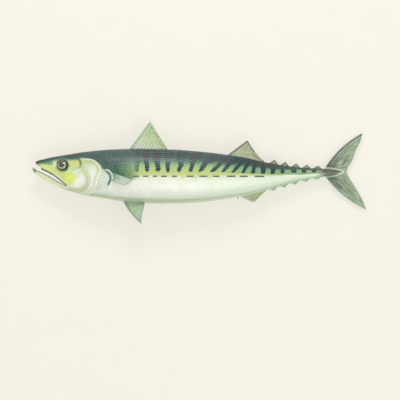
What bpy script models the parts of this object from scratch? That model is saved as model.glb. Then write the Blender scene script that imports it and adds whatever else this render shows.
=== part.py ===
"""A whole raw Atlantic mackerel, lying on its right side with its left side up.

The frame is in metres. The table is z = 0 and +Z is up. +X runs from the jaws to the tail
and +Y from the belly to the back. The origin is on the table, under the middle of the fish.

The fish is measured as fish are: each place is a pair of shares of the total length. The
first share runs from the tip of the lower jaw to the tip of the tail, and the second runs
up towards the back (plus) or down towards the belly (minus) from the line of the backbone.
"""

import math

import bmesh
import bpy
from mathutils import Vector

# ---------------------------------------------------------------- driving sizes, in metres

TOTAL_LENGTH = 0.350
FIN_THICKNESS = 0.0009
FIN_EDGE_SHARE = 0.45  # how thick a fin's outer edge is, beside its root
GAP = 0.0003  # between an eye or a spine and the socket that it sits in
GROOVE_SWELL = 0.0006  # how far a groove's corners stand off the fin's, so its walls clear by about 0.4 mm
ROOT_DEPTH = 0.0016  # how far a fin's root sinks into its groove
EYE_RADIUS = 0.0058
EYE_DEPTH_SHARE = 0.62  # the eyeball is flatter than round along its own axis
EYE_BULGE = 0.0011  # how far the eye stands proud of the skin
GILL_SLIT_DEPTH = 0.0020
GILL_SLIT_WIDTH = 0.0011
SPINE_RADIUS = 0.0009
SPINE_LENGTH = 0.0040

# ---------------------------------------------------------------- how finely it is faceted

RINGS = 45
AROUND = 30
EYE_SEGMENTS = 18

# ---------------------------------------------------------------- the body's four lines

# The upper and lower outline of the body, without its fins.
BACK_LINE = [
    (0.0000, 0.0165), (0.0050, 0.0245), (0.0110, 0.0300), (0.0360, 0.0384), (0.0840, 0.0482),
    (0.1430, 0.0577), (0.2030, 0.0645), (0.2700, 0.0684), (0.3520, 0.0687), (0.4420, 0.0655),
    (0.5310, 0.0579), (0.6210, 0.0452), (0.6960, 0.0295), (0.7550, 0.0195), (0.8150, 0.0126),
    (0.8660, 0.0102), (0.8900, 0.0090), (0.9050, 0.0060),
]
BELLY_LINE = [
    (0.0000, 0.0060), (0.0050, -0.0010), (0.0120, -0.0063), (0.0360, -0.0215), (0.0840, -0.0455),
    (0.1430, -0.0657), (0.2030, -0.0768), (0.2780, -0.0881), (0.3520, -0.0937), (0.4270, -0.0940),
    (0.5020, -0.0904), (0.5760, -0.0812), (0.6510, -0.0672), (0.7250, -0.0468), (0.7850, -0.0305),
    (0.8360, -0.0197), (0.8720, -0.0137), (0.8900, -0.0116), (0.9050, -0.0080),
]
# Half of the width from flank to flank.
HALF_WIDTH = [
    (0.0000, 0.0028), (0.0120, 0.0085), (0.0360, 0.0165), (0.0840, 0.0300), (0.1430, 0.0430),
    (0.2100, 0.0530), (0.2900, 0.0583), (0.3800, 0.0592), (0.4800, 0.0560), (0.5800, 0.0478),
    (0.6700, 0.0345), (0.7500, 0.0210), (0.8200, 0.0138), (0.8660, 0.0118), (0.8900, 0.0095),
    (0.9050, 0.0062),
]
# How high the fish's middle plane lies over the table: the stiff trunk rests on its flank,
# and the head and the thin tail sink towards the table.
MIDDLE_HEIGHT = [
    (0.0000, 0.0420), (0.0840, 0.0475), (0.1430, 0.0517), (0.2100, 0.0547), (0.2900, 0.0561),
    (0.3800, 0.0561), (0.4800, 0.0545), (0.5800, 0.0500), (0.6700, 0.0415), (0.7500, 0.0315),
    (0.8200, 0.0235), (0.8660, 0.0190), (0.9250, 0.0140), (1.0000, 0.0095),
]
BODY_END = 0.9050
FLANK_FULLNESS = 2.12  # 2 is an ellipse, and more is squarer
THROAT_TAPER = 0.22  # how much narrower the head is towards the throat
THROAT_END = 0.26

# ---------------------------------------------------------------- the head's openings

EYE_PLACE = (0.0910, 0.0224)
# The open mouth, as a wedge: along the upper jaw to the corner, and back along the lower jaw.
MOUTH_UPPER = [
    (-0.010, 0.0330), (0.0085, 0.0300), (0.0125, 0.0235), (0.0200, 0.0168), (0.0360, 0.0058),
    (0.0660, -0.0148), (0.1010, -0.0392),
]
MOUTH_LOWER = [(0.0660, -0.0172), (0.0360, 0.0022), (0.0180, 0.0105), (0.0070, 0.0134), (-0.010, 0.0140)]
# The free edge of the gill cover, from the nape round the cheek to the throat.
GILL_EDGE = [
    (0.1560, 0.0405), (0.1830, 0.0370), (0.2030, 0.0215), (0.2160, 0.0060), (0.2330, -0.0020),
    (0.2420, -0.0170), (0.2340, -0.0330), (0.2120, -0.0465), (0.1900, -0.0575), (0.1760, -0.0650),
]

# ---------------------------------------------------------------- the fins

# A fin is a fan of rays. Each ray runs from the base, on the body, to the fin's outer edge,
# which is given from the tip of the foremost ray to the tip of the hindmost one.
FIRST_DORSAL = {
    "base": (0.2925, 0.4030),
    "edge": [(0.3552, 0.1552), (0.3761, 0.1164), (0.3910, 0.0915), (0.4045, 0.0690)],
    "rays": 12,
}
SECOND_DORSAL = {
    "base": (0.5851, 0.6896),
    "edge": [(0.6442, 0.0955), (0.6597, 0.0701), (0.6761, 0.0478), (0.6925, 0.0325)],
    "rays": 12,
}
ANAL = {
    "base": (0.6218, 0.6970),
    "edge": [(0.6590, -0.0912), (0.6680, -0.0855), (0.6821, -0.0705), (0.6988, -0.0562)],
    "rays": 11,
}
PELVIC = {
    "base": (0.2720, 0.3330),
    "edge": [(0.3278, -0.1552), (0.3284, -0.1337), (0.3337, -0.1060), (0.3365, -0.0935)],
    "rays": 8,
    "bow": -0.0075,
}
FINLET_COUNT = 5
FINLET_PITCH = 0.0325
FINLET_BASE = 0.0270
DORSAL_FINLET_START = 0.7050
DORSAL_FINLET_HEIGHT = 0.0130
ANAL_FINLET_START = 0.7020
ANAL_FINLET_HEIGHT = 0.0095
ANAL_SPINE_PLACE = 0.6140
PELVIC_SPREAD = 0.0085  # how far each pelvic fin's root lies from the middle plane
PELVIC_SPLAY = 0.0150  # and how much further its tip does
PECTORAL_BASE = [(0.2400, -0.0010), (0.2420, -0.0130), (0.2375, -0.0262)]
PECTORAL_EDGE = [
    (0.3020, -0.0230), (0.2910, -0.0325), (0.2790, -0.0378), (0.2600, -0.0355), (0.2470, -0.0305),
]
PECTORAL_RAYS = 12
PECTORAL_STAND_OFF = 0.0011  # how far the middle of the fin's plate lies off the upper flank
PECTORAL_LIFT = 0.0024  # and how far its free tip does
PECTORAL_PRESSED = 0.0008  # how high the lower one's plate lies over the table
TAIL_ROOT = [(0.8740, 0.0085), (0.8900, 0.0045), (0.8960, -0.0008), (0.8900, -0.0066), (0.8750, -0.0112)]
TAIL_EDGE = [
    (0.9880, 0.1164), (0.9815, 0.0935), (0.9669, 0.0640), (0.9549, 0.0307), (0.9435, 0.0130),
    (0.9400, 0.0005), (0.9463, -0.0140), (0.9636, -0.0418), (0.9875, -0.0842), (1.0000, -0.1130),
]
TAIL_RAYS = 17
TAIL_BOW = 0.0110  # how far the outermost rays bulge out from straight

# ---------------------------------------------------------------- materials, with linear RGB colours


def paint(name, colour, roughness):
    """A plain Principled material."""
    material = bpy.data.materials.new(name)
    material.use_nodes = True
    shader = material.node_tree.nodes["Principled BSDF"]
    shader.inputs["Base Color"].default_value = (*colour, 1.0)
    shader.inputs["Roughness"].default_value = roughness
    shader.inputs["Metallic"].default_value = 0.0
    return material


# ---------------------------------------------------------------- curves


def smooth_line(knots):
    """A function of x that passes smoothly through knots of (x, value), held level past its ends."""
    xs = [x for x, _ in knots]
    ys = [y for _, y in knots]
    chords = [(ys[i + 1] - ys[i]) / (xs[i + 1] - xs[i]) for i in range(len(xs) - 1)]
    slopes = [chords[0]]
    for i in range(1, len(xs) - 1):
        before, after = xs[i] - xs[i - 1], xs[i + 1] - xs[i]
        slopes.append((chords[i - 1] * after + chords[i] * before) / (before + after))
    slopes.append(chords[-1])

    def value(x):
        x = min(max(x, xs[0]), xs[-1])
        i = max(k for k in range(len(xs) - 1) if xs[k] <= x)
        step = xs[i + 1] - xs[i]
        t = (x - xs[i]) / step
        return (
            ys[i] * (1 + 2 * t) * (1 - t) ** 2
            + ys[i + 1] * t * t * (3 - 2 * t)
            + step * (slopes[i] * t * (1 - t) ** 2 - slopes[i + 1] * t * t * (1 - t))
        )

    return value


def smooth_path(points):
    """A function of 0 to 1 that runs evenly along a smooth curve through points of (x, y)."""
    lengths = [0.0]
    for a, b in zip(points, points[1:]):
        lengths.append(lengths[-1] + math.dist(a, b))
    shares = [length / lengths[-1] for length in lengths]
    x_at = smooth_line([(share, p[0]) for share, p in zip(shares, points)])
    y_at = smooth_line([(share, p[1]) for share, p in zip(shares, points)])
    return lambda share: (x_at(share), y_at(share))


back_at = smooth_line(BACK_LINE)
belly_at = smooth_line(BELLY_LINE)
half_width_at = smooth_line(HALF_WIDTH)
middle_height_at = smooth_line(MIDDLE_HEIGHT)


def place(along, up, height):
    """The point of the frame, in metres, for three shares of the total length."""
    return Vector((along - 0.5, up, height)) * TOTAL_LENGTH


# ---------------------------------------------------------------- the body


def skin_point(along, turn):
    """A point of the skin: turn 0 is the back, a quarter turn the upper flank, a half the belly."""
    middle = (back_at(along) + belly_at(along)) / 2
    half_depth = (back_at(along) - belly_at(along)) / 2
    power = 2 / FLANK_FULLNESS
    c, s = math.cos(turn), math.sin(turn)
    throat = THROAT_TAPER * max(0.0, 1 - along / THROAT_END) * max(0.0, -c)
    up = middle + half_depth * math.copysign(abs(c) ** power, c)
    side = half_width_at(along) * (1 - throat) * math.copysign(abs(s) ** power, s)
    height = max(middle_height_at(along) + side, 0.0)
    return place(along, up, height)


def flank_height(along, up, side):
    """The skin's height over the table at a place on the upper flank (side 1) or the lower (side -1)."""
    middle = (back_at(along) + belly_at(along)) / 2
    half_depth = (back_at(along) - belly_at(along)) / 2
    across = min(abs(up - middle) / half_depth, 1.0)
    half = half_width_at(along) * (1 - across**FLANK_FULLNESS) ** (1 / FLANK_FULLNESS)
    return max(middle_height_at(along) + side * half, 0.0)


def new_object(name, bm, material):
    """An object made from a finished bmesh."""
    bmesh.ops.recalc_face_normals(bm, faces=bm.faces)
    mesh = bpy.data.meshes.new(name)
    bm.to_mesh(mesh)
    bm.free()
    mesh.materials.append(material)
    mesh.shade_smooth()
    thing = bpy.data.objects.new(name, mesh)
    bpy.context.scene.collection.objects.link(thing)
    return thing


def make_body(material):
    """The trunk and head as one skin, bridged from ring to ring and closed at both ends."""
    bm = bmesh.new()
    rings = []
    for i in range(RINGS + 1):
        even = i / RINGS
        eased = (1 - math.cos(math.pi * even)) / 2
        along = BODY_END * (even + eased) / 2
        ring = bmesh.ops.create_circle(bm, segments=AROUND, radius=1.0)["verts"]
        for k, vert in enumerate(ring):
            vert.co = skin_point(along, 2 * math.pi * k / AROUND)
        rings.append(ring)
    loops = [list({edge for vert in ring for edge in vert.link_edges}) for ring in rings]
    for near, far in zip(loops, loops[1:]):
        bmesh.ops.bridge_loops(bm, edges=near + far)
    for loop in (loops[0], loops[-1]):
        bmesh.ops.holes_fill(bm, edges=loop, sides=0)
    return new_object("body", bm, material)


# ---------------------------------------------------------------- pieces made of rays


def make_fan(name, rays, rows, point, material, thickness, edge_share):
    """A thin plate of rays. point(ray, row) gives its middle surface, ray and row from 0 to 1."""
    bm = bmesh.new()
    weights = bm.verts.layers.deform.verify()
    grid = []
    for i in range(rays):
        column = []
        for j in range(rows + 1):
            vert = bm.verts.new(point(i / (rays - 1), j / rows))
            vert[weights][0] = 1 - (1 - edge_share) * j / rows
            column.append(vert)
        grid.append(column)
    for left, right in zip(grid, grid[1:]):
        for j in range(rows):
            bm.faces.new((left[j], right[j], right[j + 1], left[j + 1]))
    fan = new_object(name, bm, material)
    fan.vertex_groups.new(name="thickness")
    plate = fan.modifiers.new("plate", "SOLIDIFY")
    plate.thickness = thickness
    plate.offset = 0.0
    plate.vertex_group = "thickness"
    return fan


def make_cutter(thing):
    """Marks a shape as a cutter of the body, which the finished fish leaves out."""
    thing.hide_render = True
    thing.display_type = "WIRE"
    bpy.context.scene.collection.objects.unlink(thing)
    CUTTERS.objects.link(thing)


def make_fin(name, rays, rows, point, material):
    """A fin, and the groove for its root: the same plate swollen on every side."""
    make_fan(name, rays, rows, point, material, FIN_THICKNESS, FIN_EDGE_SHARE)
    groove = make_fan(name + "_groove", rays, rows, point, material, FIN_THICKNESS, 1.0)
    swell = groove.modifiers.new("swell", "DISPLACE")
    swell.strength = GROOVE_SWELL
    swell.mid_level = 0.0
    make_cutter(groove)


def median_fin(base, edge, body_line, side, bow=0.0, spread=0.0, splay=0.0):
    """The point function of a fin whose base follows body_line and whose rays reach edge.

    side is 1 on the back and -1 on the belly. bow is how far the foremost ray bulges forward.
    spread and splay move the root and the tip off the middle plane.
    """
    edge_at = smooth_path(edge)

    def point(ray, row):
        root_along = base[0] + (base[1] - base[0]) * ray
        root_up = body_line(root_along) - side * ROOT_DEPTH / TOTAL_LENGTH
        tip_along, tip_up = edge_at(ray)
        bulge = 4 * bow * row * (1 - row) * (1 - ray)
        along = root_along + (tip_along - root_along) * row + bulge
        up = root_up + (tip_up - root_up) * row
        return place(along, up, middle_height_at(along) + spread + splay * row)

    return point


def make_finlets(word, start, height, body_line, side, material):
    """A row of small fins, each a low triangle that leans back, getting lower towards the tail."""
    for i in range(FINLET_COUNT):
        front = start + i * FINLET_PITCH
        back = front + FINLET_BASE
        rise = side * height * (1 - 0.08 * i)
        peak = front + 0.74 * FINLET_BASE
        edge = [
            (peak, body_line(peak) + rise),
            (front + 0.92 * FINLET_BASE, body_line(back) + 0.55 * rise),
            (back + 0.08 * FINLET_BASE, body_line(back) + 0.15 * rise),
        ]
        make_fin(f"{word}_finlet_{i + 1}", 5, 3, median_fin((front, back), edge, body_line, side), material)


def make_pectoral(name, side, material):
    """The fin behind the gill cover, laid back along the upper flank, or pressed into the lower one."""
    base_at, edge_at = smooth_path(PECTORAL_BASE), smooth_path(PECTORAL_EDGE)

    def point(ray, row):
        root_along, root_up = base_at(ray)
        tip_along, tip_up = edge_at(ray)
        along = root_along + (tip_along - root_along) * row
        up = root_up + (tip_up - root_up) * row
        skin = flank_height(along, up, side) * TOTAL_LENGTH
        rooted = max(0.0, 1 - row / 0.3)
        if side > 0:
            stand_off = PECTORAL_STAND_OFF + (PECTORAL_LIFT - PECTORAL_STAND_OFF) * row**2
            height = skin + stand_off * (1 - rooted) - ROOT_DEPTH * rooted
        else:
            height = max(skin, PECTORAL_PRESSED) + ROOT_DEPTH * rooted
        return place(along, up, height / TOTAL_LENGTH)

    make_fin(name, PECTORAL_RAYS, 6, point, material)


def make_tail(material):
    """The forked tail fin: rays that fan out from the end of the backbone."""
    root_at, edge_at = smooth_path(TAIL_ROOT), smooth_path(TAIL_EDGE)

    def point(ray, row):
        root_along, root_up = root_at(ray)
        tip_along, tip_up = edge_at(ray)
        run, rise = tip_along - root_along, tip_up - root_up
        length = math.hypot(run, rise)
        bulge = 4 * TAIL_BOW * row * (1 - row) * (1 - 2 * ray) ** 3
        along = root_along + run * row - abs(bulge * rise) / length
        up = root_up + rise * row + bulge * run / length
        return place(along, up, middle_height_at(along))

    make_fin("tail_fin", TAIL_RAYS, 7, point, material)


# ---------------------------------------------------------------- eyes, spine and the head's cuts


def skin_normal(along, up, side):
    """The outward direction of the flank at a place."""
    step = 0.002
    heights = [
        flank_height(along + step, up, side) - flank_height(along - step, up, side),
        flank_height(along, up + step, side) - flank_height(along, up - step, side),
    ]
    slope = Vector((-heights[0] / (2 * step), -heights[1] / (2 * step), 1.0))
    return (slope * side if side > 0 else Vector((-slope.x, -slope.y, -1.0))).normalized()


def make_eyeball(name, side, radius, material):
    """A flattened ball whose axis stands square to the skin, with its face a little proud."""
    normal = skin_normal(*EYE_PLACE, side)
    surface = place(*EYE_PLACE, flank_height(*EYE_PLACE, side))
    bm = bmesh.new()
    bmesh.ops.create_uvsphere(bm, u_segments=EYE_SEGMENTS, v_segments=EYE_SEGMENTS // 2, radius=radius)
    bmesh.ops.scale(bm, vec=(1.0, 1.0, EYE_DEPTH_SHARE), verts=bm.verts)
    eyeball = new_object(name, bm, material)
    eyeball.location = surface - normal * (EYE_RADIUS * EYE_DEPTH_SHARE - EYE_BULGE)
    eyeball.rotation_euler = normal.to_track_quat("Z", "Y").to_euler()
    return eyeball


def make_spine(name, room, material):
    """The short spine in front of the anal fin, a cone that leans back out of the belly."""
    lean = Vector((0.45, -1.0, 0.0)).normalized()
    skin = place(ANAL_SPINE_PLACE, belly_at(ANAL_SPINE_PLACE), middle_height_at(ANAL_SPINE_PLACE))
    bm = bmesh.new()
    bmesh.ops.create_cone(
        bm, cap_ends=True, segments=10, depth=SPINE_LENGTH + 2 * room,
        radius1=SPINE_RADIUS + room, radius2=0.3 * SPINE_RADIUS + room,
    )
    spine = new_object(name, bm, material)
    spine.location = skin + lean * (SPINE_LENGTH / 2 - ROOT_DEPTH)
    spine.rotation_euler = lean.to_track_quat("Z", "Y").to_euler()
    return spine


def make_mouth_cutter(material):
    """A wedge right through the front of the head, between the jaws."""
    below, above = 0.0, 0.12
    bm = bmesh.new()
    outline = [bm.verts.new(place(x, y, below)) for x, y in MOUTH_UPPER + MOUTH_LOWER]
    floor = bm.faces.new(outline)
    raised = bmesh.ops.extrude_face_region(bm, geom=[floor])["geom"]
    top = [item for item in raised if isinstance(item, bmesh.types.BMVert)]
    bmesh.ops.translate(bm, vec=(0.0, 0.0, above * TOTAL_LENGTH), verts=top)
    make_cutter(new_object("mouth_cutter", bm, material))


def make_gill_cutter(side, material):
    """A thin curtain along the gill cover's edge that reaches a little way into the flank."""
    edge_at = smooth_path(GILL_EDGE)
    depth, clear = GILL_SLIT_DEPTH / TOTAL_LENGTH, 0.012

    def point(ray, row):
        along, up = edge_at(ray)
        skin = flank_height(along, up, side)
        return place(along, up, skin + side * (clear * row - depth * (1 - row)))

    word = "upper" if side > 0 else "lower"
    make_cutter(make_fan(f"{word}_gill_cutter", 16, 1, point, material, GILL_SLIT_WIDTH, 1.0))


# ---------------------------------------------------------------- the fish

for old in list(bpy.data.objects):
    bpy.data.objects.remove(old)
CUTTERS = bpy.data.collections.new("cutters")
bpy.context.scene.collection.children.link(CUTTERS)

skin = paint("wet_skin", (0.30, 0.42, 0.34), 0.30)
eye = paint("wet_eye", (0.36, 0.40, 0.12), 0.12)
back_fin = paint("olive_fin_membrane", (0.30, 0.36, 0.22), 0.45)
belly_fin = paint("pale_fin_membrane", (0.40, 0.52, 0.34), 0.45)
tail_fin = paint("slate_fin_membrane", (0.20, 0.24, 0.20), 0.45)

body = make_body(skin)
for word, side in (("left", 1), ("right", -1)):
    make_eyeball(f"{word}_eye", side, EYE_RADIUS, eye)
    make_cutter(make_eyeball(f"{word}_eye_socket", side, EYE_RADIUS + GAP, skin))
    make_gill_cutter(side, skin)
    make_pectoral(f"{word}_pectoral_fin", side, tail_fin)
    pelvic = median_fin(
        PELVIC["base"], PELVIC["edge"], belly_at, -1,
        bow=PELVIC["bow"], spread=side * PELVIC_SPREAD, splay=side * PELVIC_SPLAY,
    )
    make_fin(f"{word}_pelvic_fin", PELVIC["rays"], 6, pelvic, belly_fin)

first = median_fin(FIRST_DORSAL["base"], FIRST_DORSAL["edge"], back_at, 1)
make_fin("first_dorsal_fin", FIRST_DORSAL["rays"], 6, first, back_fin)
second = median_fin(SECOND_DORSAL["base"], SECOND_DORSAL["edge"], back_at, 1)
make_fin("second_dorsal_fin", SECOND_DORSAL["rays"], 5, second, back_fin)
make_finlets("dorsal", DORSAL_FINLET_START, DORSAL_FINLET_HEIGHT, back_at, 1, back_fin)
make_fin("anal_fin", ANAL["rays"], 5, median_fin(ANAL["base"], ANAL["edge"], belly_at, -1), belly_fin)
make_finlets("anal", ANAL_FINLET_START, ANAL_FINLET_HEIGHT, belly_at, -1, belly_fin)
make_spine("anal_spine", 0.0, belly_fin)
make_cutter(make_spine("anal_spine_socket", GAP, belly_fin))
make_tail(tail_fin)
make_mouth_cutter(skin)

cuts = body.modifiers.new("grooves_and_openings", "BOOLEAN")
cuts.operation = "DIFFERENCE"
cuts.solver = "EXACT"
cuts.operand_type = "COLLECTION"
cuts.collection = CUTTERS
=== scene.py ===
# %% [markdown]
# # A whole raw mackerel
# A mackerel fresh from the boat, lying on a pale table on its right side. This file grows the fine
# skin, eyes and fins around the plain solids of the CAD model, then gives each of them the wet,
# patterned finish of the real fish. The solids are loaded first, as a frame to build inside.

# %% Load the plain solids
import math

import bpy
import numpy as np
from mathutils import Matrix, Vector, noise


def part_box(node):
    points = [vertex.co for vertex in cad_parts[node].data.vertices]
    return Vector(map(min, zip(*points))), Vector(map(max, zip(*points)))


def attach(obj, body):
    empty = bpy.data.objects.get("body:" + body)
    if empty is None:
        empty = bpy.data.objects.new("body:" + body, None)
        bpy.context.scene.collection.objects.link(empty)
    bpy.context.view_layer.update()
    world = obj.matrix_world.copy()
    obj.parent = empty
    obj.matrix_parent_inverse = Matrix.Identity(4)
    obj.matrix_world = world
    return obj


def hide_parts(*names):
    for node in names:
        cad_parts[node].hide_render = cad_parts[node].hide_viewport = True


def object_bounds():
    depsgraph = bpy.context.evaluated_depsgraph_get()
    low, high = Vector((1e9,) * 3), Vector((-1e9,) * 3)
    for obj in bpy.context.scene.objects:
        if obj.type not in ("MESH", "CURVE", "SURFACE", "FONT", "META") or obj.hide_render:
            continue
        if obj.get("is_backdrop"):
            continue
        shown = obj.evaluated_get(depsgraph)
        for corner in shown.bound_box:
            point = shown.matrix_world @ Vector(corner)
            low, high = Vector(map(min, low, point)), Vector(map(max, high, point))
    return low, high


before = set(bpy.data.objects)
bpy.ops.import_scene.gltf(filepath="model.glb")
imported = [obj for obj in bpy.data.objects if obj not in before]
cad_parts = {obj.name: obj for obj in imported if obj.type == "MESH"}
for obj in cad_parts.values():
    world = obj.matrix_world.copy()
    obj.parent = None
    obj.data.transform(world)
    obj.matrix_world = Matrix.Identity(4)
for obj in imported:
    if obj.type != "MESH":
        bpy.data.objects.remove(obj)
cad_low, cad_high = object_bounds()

MM = 0.001
TOTAL_LENGTH = cad_high[0] - cad_low[0]
print("the fish is", round(TOTAL_LENGTH / MM), "mm long")

# %% [markdown]
# ## Camera and light
# The fish is seen from straight above, from far off through a long lens, so that its outline stays
# true. A soft lamp beyond its back stands for a window, and a broader, weaker one on the belly's
# side stands for the rest of the room.

# %% Camera and lamps


def add_lamp(name, spot, aim, side, watts, tint):
    """A square soft lamp at spot, facing aim."""
    light = bpy.data.lights.new(name, "AREA")
    light.size = side
    light.energy = watts
    light.color = tint
    lamp = bpy.data.objects.new(name, light)
    lamp.location = spot
    lamp.rotation_euler = (Vector(aim) - Vector(spot)).to_track_quat("-Z", "Y").to_euler()
    bpy.context.scene.collection.objects.link(lamp)


lens = bpy.data.cameras.new("camera")
lens.lens = 350.0
lens.clip_end = 20.0
camera = bpy.data.objects.new("camera", lens)
VIEW_WIDTH = 0.4179
camera.location = (0.0005, -0.0293, 0.018 + VIEW_WIDTH * lens.lens / lens.sensor_width)
bpy.context.scene.collection.objects.link(camera)
bpy.context.scene.camera = camera
bpy.context.scene.view_settings.view_transform = "Standard"

add_lamp("window", (-0.05, 0.95, 0.72), (0.0, 0.0, 0.0), 0.42, 5.6, (1.0, 0.985, 0.96))
add_lamp("room", (0.45, -0.65, 1.15), (0.0, 0.0, 0.0), 0.9, 3.6, (0.96, 0.98, 1.0))

# %% [markdown]
# ## Making materials
# A colour picked from a chart is an sRGB hex value, while the renderer mixes light in linear
# values, so one function turns the first into the second. Another adds one node with its settings
# and links, and every material is a short list of such nodes.

# %% Colour and node helpers


def linear(hex_value):
    """An sRGB hex colour, such as 'f2f3e5', as linear red, green, blue and alpha."""
    channels = [int(hex_value[i : i + 2], 16) / 255 for i in (0, 2, 4)]
    return (*(c / 12.92 if c <= 0.04045 else ((c + 0.055) / 1.055) ** 2.4 for c in channels), 1.0)


def new_material(name, **sockets):
    """A Principled material with these socket values; returns it with its tree and its shader."""
    material = bpy.data.materials.new(name)
    material.use_nodes = True
    shader = material.node_tree.nodes["Principled BSDF"]
    for socket, value in sockets.items():
        shader.inputs[socket.replace("_", " ")].default_value = value
    return material, material.node_tree, shader


def node(tree, kind, links=None, **settings):
    """Adds a node. links gives input name or number -> socket or plain value."""
    made = tree.nodes.new("ShaderNode" + kind)
    for setting, value in settings.items():
        setattr(made, setting, value)
    for key, value in (links or {}).items():
        if isinstance(value, bpy.types.NodeSocket):
            tree.links.new(value, made.inputs[key])
        else:
            made.inputs[key].default_value = value
    return made


def math_node(tree, operation, *values):
    """One step of arithmetic on numbers or sockets."""
    return node(tree, "Math", dict(enumerate(values)), operation=operation).outputs[0]


def fade(tree, value, start, end, low=0.0, high=1.0):
    """value mapped smoothly, so that start gives low and end gives high."""
    links = {"Value": value, "From Min": start, "From Max": end, "To Min": low, "To Max": high}
    return node(tree, "MapRange", links, interpolation_type="SMOOTHSTEP").outputs[0]


def tint(tree, share, below, above):
    """below painted over with above by share. Colours are hex values or sockets."""
    colours = [linear(c) if isinstance(c, str) else c for c in (below, above)]
    mixer = node(tree, "Mix", {0: share, 6: colours[0], 7: colours[1]}, data_type="RGBA")
    return mixer.outputs[2]


def ramp(tree, value, stops):
    """A colour ramp through stops of (position, hex)."""
    made = node(tree, "ValToRGB", {"Fac": value})
    elements = made.color_ramp.elements
    for _ in stops[2:]:
        elements.new(0.5)
    for element, (position, hex_value) in zip(elements, stops):
        element.position = position
        element.color = linear(hex_value)
    return made.outputs["Color"]


# %% [markdown]
# ## The room
# An even white light comes from all round. What the camera sees behind the table, and what wet
# skin mirrors, is a cream wall, which adds nothing to the light that falls on the fish.

# %% The room's light


def looked_at(tree):
    """1 for a ray of the camera, of a reflection or of a view through glass, and 0 for light."""
    path = node(tree, "LightPath").outputs
    mirrored = math_node(tree, "MAXIMUM", path["Is Glossy Ray"], path["Is Transmission Ray"])
    return math_node(tree, "MAXIMUM", path["Is Camera Ray"], mirrored)


world = bpy.data.worlds.new("room light")
world.use_nodes = True
sky = world.node_tree
room = sky.nodes["Background"]
room.inputs["Color"].default_value = (1.0, 1.0, 1.0, 1.0)
room.inputs["Strength"].default_value = 0.68
wall = node(sky, "Background", {"Color": linear("f6f2e7"), "Strength": 1.0})
choice = node(sky, "MixShader", {0: looked_at(sky), 1: room.outputs[0], 2: wall.outputs[0]})
sky.links.new(choice.outputs[0], sky.nodes["World Output"].inputs["Surface"])
bpy.context.scene.world = world
print("the room's light is", room.inputs["Strength"].default_value, "of a white wall's")

# %% [markdown]
# ## The lines of the fish
# A shipwright draws a hull by its lines, and so is this fish drawn: one line along the back, one
# along the belly, one for the half width and one for the height of its middle plane over the table.
# Each is a smooth curve through a few knots, in shares of the total length, counted from the jaws.

# %% Smooth curves through knots


def smooth_line(knots):
    """A function that passes smoothly through knots of (x, value); it takes whole arrays of x."""
    xs, ys = np.array(knots, float).T
    steps = np.diff(xs)
    chords = np.diff(ys) / steps
    inner = (chords[:-1] * steps[1:] + chords[1:] * steps[:-1]) / (steps[1:] + steps[:-1])
    slopes = np.concatenate([chords[:1], inner, chords[-1:]])

    def value(x):
        x = np.clip(x, xs[0], xs[-1])
        i = np.clip(np.searchsorted(xs, x, side="right") - 1, 0, len(xs) - 2)
        t = (x - xs[i]) / steps[i]
        rise = ys[i] * (1 + 2 * t) * (1 - t) ** 2 + ys[i + 1] * t * t * (3 - 2 * t)
        return rise + steps[i] * (slopes[i] * t * (1 - t) ** 2 - slopes[i + 1] * t * t * (1 - t))

    return value


def smooth_path(points):
    """A function of 0 to 1 that runs evenly along a smooth curve through points of (x, y)."""
    points = np.array(points, float)
    lengths = np.concatenate([[0.0], np.cumsum(np.hypot(*np.diff(points, axis=0).T))])
    shares = lengths / lengths[-1]
    x_at = smooth_line(np.column_stack([shares, points[:, 0]]))
    y_at = smooth_line(np.column_stack([shares, points[:, 1]]))
    return lambda share: np.array([x_at(share), y_at(share)])


def smoothstep(start, end, value):
    """0 before start and 1 after end, easing in between."""
    t = np.clip((value - start) / (end - start), 0.0, 1.0)
    return t * t * (3 - 2 * t)


# %% The body's four lines
BACK_LINE = smooth_line([
    (0.0000, 0.0165), (0.0050, 0.0245), (0.0110, 0.0300), (0.0360, 0.0384), (0.0840, 0.0482),
    (0.1430, 0.0577), (0.2030, 0.0645), (0.2700, 0.0684), (0.3520, 0.0687), (0.4420, 0.0655),
    (0.5310, 0.0579), (0.6210, 0.0452), (0.6960, 0.0295), (0.7550, 0.0195), (0.8150, 0.0126),
    (0.8660, 0.0102), (0.8900, 0.0086), (0.9080, 0.0062), (0.9280, 0.0018),
])
BELLY_LINE = smooth_line([
    (0.0000, 0.0060), (0.0050, -0.0010), (0.0120, -0.0063), (0.0360, -0.0215), (0.0840, -0.0455),
    (0.1430, -0.0657), (0.2030, -0.0768), (0.2780, -0.0881), (0.3520, -0.0937), (0.4270, -0.0940),
    (0.5020, -0.0904), (0.5760, -0.0812), (0.6510, -0.0672), (0.7250, -0.0468), (0.7850, -0.0305),
    (0.8360, -0.0197), (0.8720, -0.0137), (0.8900, -0.0112), (0.9080, -0.0080), (0.9280, -0.0030),
])
HALF_WIDTH = smooth_line([
    (0.0000, 0.0028), (0.0120, 0.0085), (0.0360, 0.0165), (0.0840, 0.0300), (0.1430, 0.0430),
    (0.2100, 0.0530), (0.2900, 0.0583), (0.3800, 0.0592), (0.4800, 0.0560), (0.5800, 0.0478),
    (0.6700, 0.0345), (0.7500, 0.0210), (0.8200, 0.0138), (0.8660, 0.0116), (0.8900, 0.0088),
    (0.9080, 0.0058), (0.9280, 0.0026),
])
MIDDLE_HEIGHT = smooth_line([
    (0.0000, 0.0420), (0.0840, 0.0475), (0.1430, 0.0517), (0.2100, 0.0547), (0.2900, 0.0561),
    (0.3800, 0.0561), (0.4800, 0.0545), (0.5800, 0.0500), (0.6700, 0.0415), (0.7500, 0.0315),
    (0.8200, 0.0235), (0.8660, 0.0190), (0.9250, 0.0140), (1.0000, 0.0095),
])
BODY_END = 0.9280
FLANK_FULLNESS = 2.12
THROAT_TAPER = 0.22
THROAT_END = 0.26


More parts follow.
